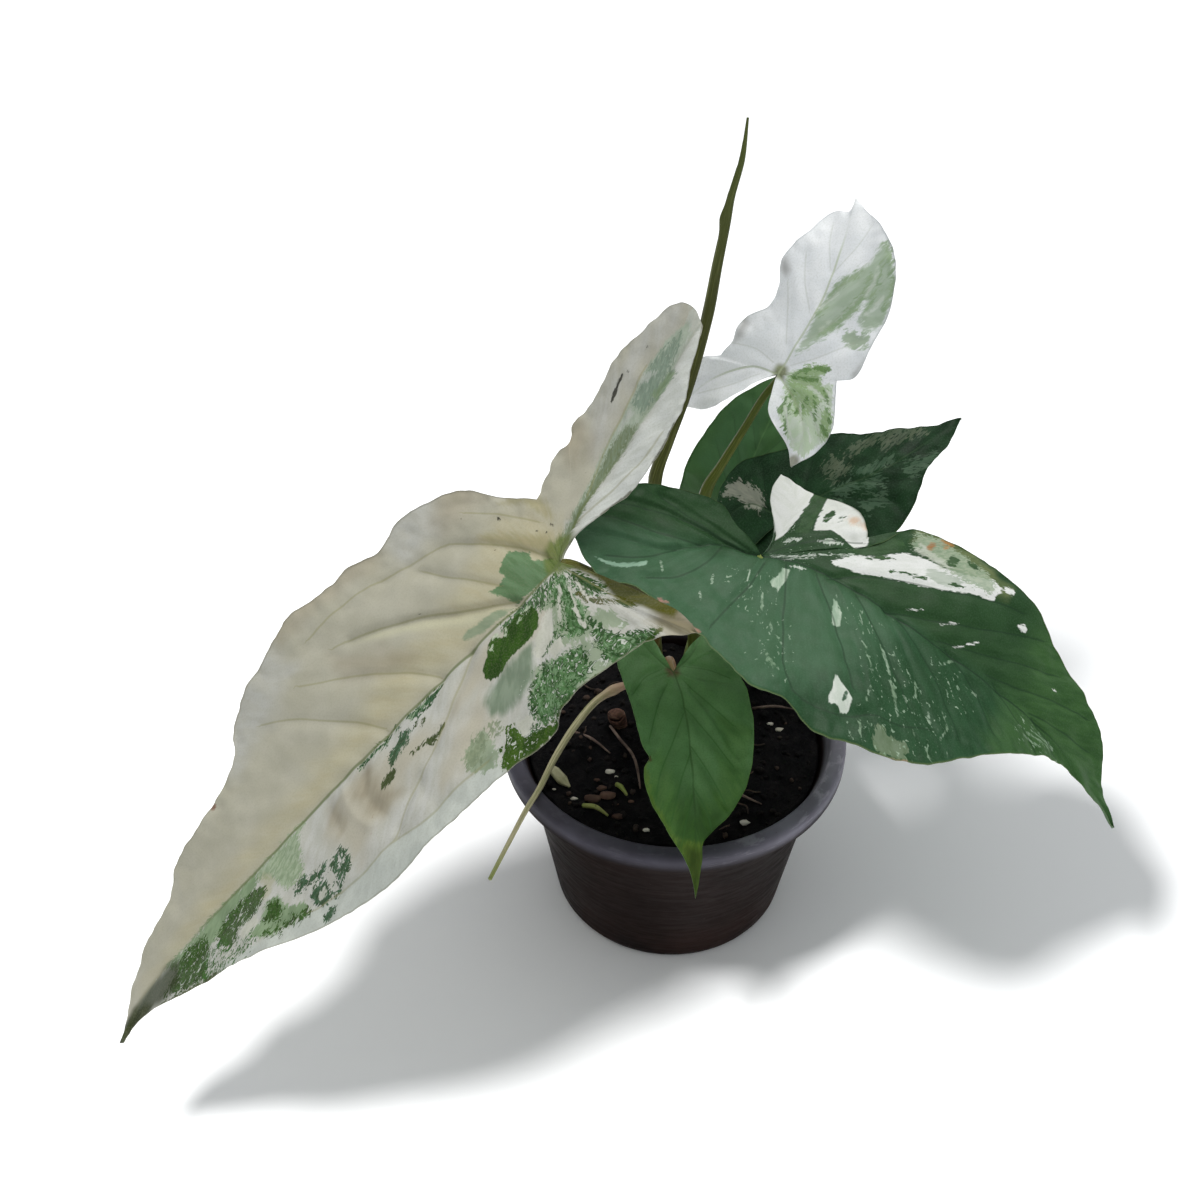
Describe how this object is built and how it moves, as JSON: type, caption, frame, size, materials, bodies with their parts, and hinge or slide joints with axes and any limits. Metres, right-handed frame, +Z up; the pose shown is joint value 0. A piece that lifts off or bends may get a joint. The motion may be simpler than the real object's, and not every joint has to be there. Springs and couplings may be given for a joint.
{
  "type": "arrowhead plant",
  "caption": "Variegated arrowhead plant: arrow-shaped three-lobed leaves on slender arching stalks, in a round black nursery pot filled with soil.",
  "frame": {"origin": "centre of the pot's underside, on the surface that the pot stands on", "axes": "+Z up along the pot's axis; the largest leaf points towards -X and -Y, and the second largest towards +X"},
  "size_m": [0.3201, 0.2425, 0.2916],
  "materials": {
    "pot_plastic": "scuffed black nursery plastic with a greyish lip",
    "soil": "dark moist potting mix with bark fibre and a little perlite",
    "woody_stem": "rough brown skin with leaf scars",
    "cream_leaf": "satin, cream and green variegated",
    "white_leaf": "satin, white and pale green variegated",
    "dark_leaf": "satin, dark green flecked with white",
    "mid_leaf": "satin, mid green",
    "stalk": "smooth, olive green to ochre",
    "dry_stalk": "dry, pale straw with fine lines"
  },
  "bodies": {
    "root": {"pot": "pot_plastic", "soil": "soil", "crown_stem": "woody_stem", "old_stem_stub": "woody_stem", "leaf_front_left": "cream_leaf", "leaf_upper_right": "white_leaf", "leaf_right": "dark_leaf", "leaf_small_front": "mid_leaf", "leaf_back_right": "dark_leaf", "leaf_back": "dark_leaf", "stalk_front_left": "stalk", "stalk_upper_right": "stalk", "stalk_right": "stalk", "stalk_small_front": "stalk", "stalk_back_right": "stalk", "stalk_back": "stalk", "new_leaf": "stalk", "dried_stalk": "dry_stalk"}
  },
  "joints": []
}
